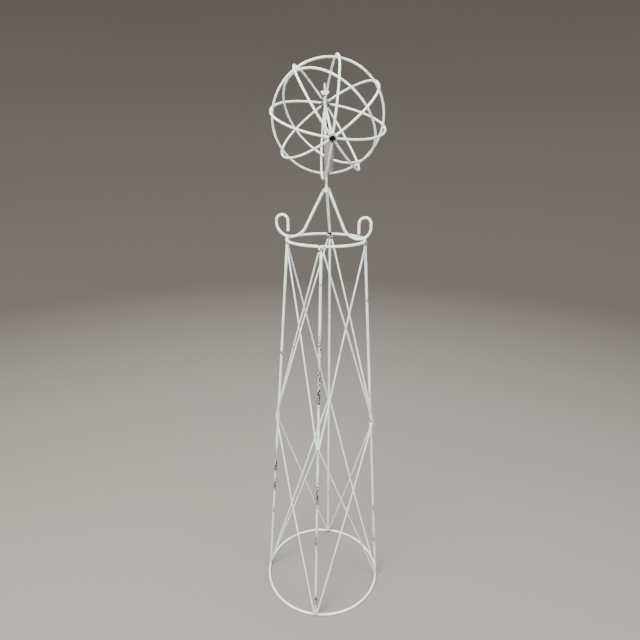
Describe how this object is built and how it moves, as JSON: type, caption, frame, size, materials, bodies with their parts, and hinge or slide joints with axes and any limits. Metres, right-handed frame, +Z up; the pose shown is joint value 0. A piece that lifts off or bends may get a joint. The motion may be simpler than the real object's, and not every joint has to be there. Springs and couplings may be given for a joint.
{
  "type": "garden obelisk",
  "caption": "Free-standing rod tower for climbing plants, with bent-wire lattice panels, scrolled roof rods and a swivelling wire ball on a mast.",
  "frame": {"origin": "on the ground at the centre of the base ring", "axes": "+Z up along the mast; -Y towards the front upright; +X towards the right upright"},
  "size_m": [0.4139, 0.4138, 1.7549],
  "materials": {
    "painted_rod": "brush-painted off-white, chipped to rust",
    "painted_wire": "brush-painted off-white, chipped to rust",
    "weld_metal": "lumpy painted weld with rust breaking through",
    "weathered_tube": "thin worn paint over rusted steel",
    "plated_hardware": "dull painted steel hardware"
  },
  "bodies": {
    "tower": {"apex_weld": "weld_metal", "base_ring": "painted_rod", "crossing_welds": "weld_metal", "foot_welds": "weld_metal", "head_welds": "weld_metal", "knot_welds": "weld_metal", "lattice_back_to_left": "painted_wire", "lattice_back_to_right": "painted_wire", "lattice_front_to_left": "painted_wire", "lattice_front_to_right": "painted_wire", "lattice_left_to_back": "painted_wire", "lattice_left_to_front": "painted_wire", "lattice_right_to_back": "painted_wire", "lattice_right_to_front": "painted_wire", "mast": "painted_rod", "mast_collar": "weathered_tube", "roof_foot_welds": "weld_metal", "roof_rod_back": "painted_rod", "roof_rod_left": "painted_rod", "roof_rod_right": "painted_rod", "top_ring": "painted_rod", "upright_back": "painted_rod", "upright_front": "painted_rod", "upright_left": "painted_rod", "upright_right": "painted_rod", "wing_nut_washer": "plated_hardware"},
    "ball": {"ball_knot_welds": "weld_metal", "ball_rib_1": "painted_rod", "ball_rib_2": "painted_rod", "ball_rib_3": "painted_rod", "ball_rib_4": "painted_rod", "ball_rib_5": "painted_rod", "ball_rib_6": "painted_rod", "ball_rib_7": "painted_rod", "ball_rib_8": "painted_rod", "equator_ring": "painted_rod", "front_hub": "weathered_tube", "front_hub_plate": "weathered_tube", "front_hub_welds": "weld_metal", "inclined_ring": "painted_rod", "inclined_ring_welds": "weld_metal", "polar_rod": "painted_rod", "rear_hub": "weathered_tube", "rear_hub_plate": "weathered_tube", "rear_hub_welds": "weld_metal", "socket_tube": "weathered_tube", "tube_weld": "weld_metal"},
    "wing_nut": {"wing_nut": "plated_hardware"}
  },
  "joints": [
    {"name": "ball_swivel", "type": "hinge", "parent": "tower", "child": "ball", "pos_m": [-0.0012, 0, 1.44998], "axis": [-0.0279, 0, 0.9996], "continuous": true},
    {"name": "wing_nut_turn", "type": "hinge", "parent": "tower", "child": "wing_nut", "pos_m": [-0.00704, 0, 1.6589], "axis": [-0.0279, 0, 0.9996], "continuous": true}
  ]
}
